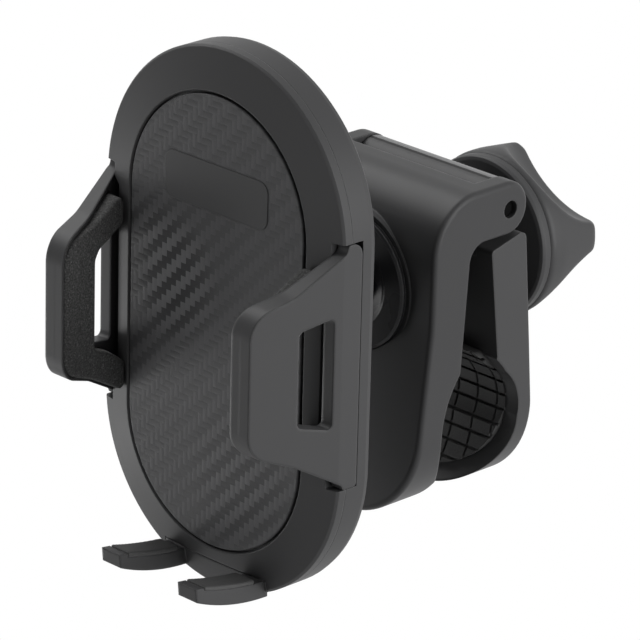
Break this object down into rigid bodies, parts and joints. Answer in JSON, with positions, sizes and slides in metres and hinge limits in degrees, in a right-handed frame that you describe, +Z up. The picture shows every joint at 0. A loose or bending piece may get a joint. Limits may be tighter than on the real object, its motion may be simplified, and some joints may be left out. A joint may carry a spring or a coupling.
{
  "type": "stroller phone holder",
  "caption": "Phone holder with an oval cradle, two sliding side arms and two feet, on a ball joint and a hinged screw clamp for a round bar.",
  "frame": {"origin": "centre of the clamped bar, midway along the jaws", "axes": "+X along the bar, to the right as the cradle is faced; +Y from the cradle back to the knob; +Z up"},
  "size_m": [0.072, 0.1198, 0.1208],
  "materials": {
    "black_plastic": "fine matt moulded",
    "woven_pad": "woven relief, matt",
    "badge_black": "smooth matt",
    "foam_black": "grainy foam rubber",
    "rubber_black": "matt rubber",
    "nylon_white": "plain nylon",
    "steel": "plain",
    "black_steel": "blackened",
    "brass": "plain"
  },
  "bodies": {
    "clamp_frame": {"front_jaw": "black_plastic", "front_jaw_pad": "rubber_black", "hinge_pin": "black_steel", "clamp_bolt": "steel", "jaw_spring": "steel"},
    "rear_jaw_body": {"rear_jaw": "black_plastic", "rear_jaw_pad": "rubber_black"},
    "washer_body": {"rocker_washer": "steel"},
    "knob_body": {"knob_base": "black_plastic", "wing_knob": "black_plastic", "insert_nut": "brass"},
    "nut_body": {"lock_nut": "black_plastic"},
    "cup_body": {"friction_cup": "nylon_white"},
    "stud_body": {"ball_stud": "black_plastic"},
    "cradle_body": {"front_bezel": "black_plastic", "rear_cover": "black_plastic", "phone_pad": "woven_pad", "badge_plate": "badge_black", "cover_screws": "steel", "pinion_pin": "steel", "pinion_brake": "rubber_black", "stud_holder": "steel", "holder_screws": "steel", "foot_spring": "steel"},
    "right_arm_body": {"right_arm": "black_plastic", "right_arm_pad": "foam_black", "right_rack": "black_plastic"},
    "left_arm_body": {"left_arm": "black_plastic", "left_arm_pad": "foam_black", "left_rack": "black_plastic"},
    "pinion_body": {"pinion": "nylon_white"},
    "foot_body": {"foot_bracket": "black_plastic", "left_foot_pad": "rubber_black", "right_foot_pad": "rubber_black"}
  },
  "joints": [
    {"name": "rear_jaw_swing", "type": "hinge", "parent": "clamp_frame", "child": "rear_jaw_body", "pos_m": [0, 0.0069, 0.0468], "axis": [1, 0, 0], "range_deg": [-7, 7], "deforming": ["jaw_spring"]},
    {"name": "knob_travel", "type": "slide", "parent": "clamp_frame", "child": "washer_body", "axis": [0, 1, 0], "range_m": [-0.00201, 0.00201], "deforming": ["jaw_spring"]},
    {"name": "knob_turn", "type": "hinge", "parent": "washer_body", "child": "knob_body", "pos_m": [0, 0.0233, 0.03], "axis": [0, 1, 0], "range_deg": [-360, 360], "deforming": ["jaw_spring"]},
    {"name": "lock_nut_turn", "type": "hinge", "parent": "clamp_frame", "child": "nut_body", "pos_m": [0, -0.0142, 0.03], "axis": [0, 1, 0], "range_deg": [-30, 30]},
    {"name": "ball_pan", "type": "hinge", "parent": "clamp_frame", "child": "cup_body", "pos_m": [0, -0.0142, 0.03], "axis": [0, 0, 1], "range_deg": [-15, 15]},
    {"name": "ball_tilt", "type": "hinge", "parent": "cup_body", "child": "stud_body", "pos_m": [0, -0.0142, 0.03], "axis": [1, 0, 0], "range_deg": [-15, 15]},
    {"name": "cradle_spin", "type": "hinge", "parent": "stud_body", "child": "cradle_body", "pos_m": [0, -0.0142, 0.03], "axis": [0, 1, 0], "continuous": true},
    {"name": "right_arm_slide", "type": "slide", "parent": "cradle_body", "child": "right_arm_body", "axis": [1, 0, 0], "range_m": [0, 0.018]},
    {"name": "left_arm_slide", "type": "slide", "parent": "cradle_body", "child": "left_arm_body", "axis": [-1, 0, 0], "range_m": [0, 0.01801]},
    {"name": "pinion_turn", "type": "hinge", "parent": "cradle_body", "child": "pinion_body", "pos_m": [0, -0.05225, 0.03], "axis": [0, 1, 0], "range_deg": [-172, 0]},
    {"name": "foot_slide", "type": "slide", "parent": "cradle_body", "child": "foot_body", "axis": [0, 0, -1], "range_m": [0, 0.01]}
  ],
  "couplings": [
    {"joint": "rear_jaw_swing", "follows": "knob_turn", "ratio": 0.018947},
    {"joint": "knob_travel", "follows": "knob_turn", "m_per_rad": 0.00031831},
    {"joint": "left_arm_slide", "follows": "right_arm_slide", "ratio": 1},
    {"joint": "pinion_turn", "follows": "right_arm_slide", "rad_per_m": -166.67}
  ]
}
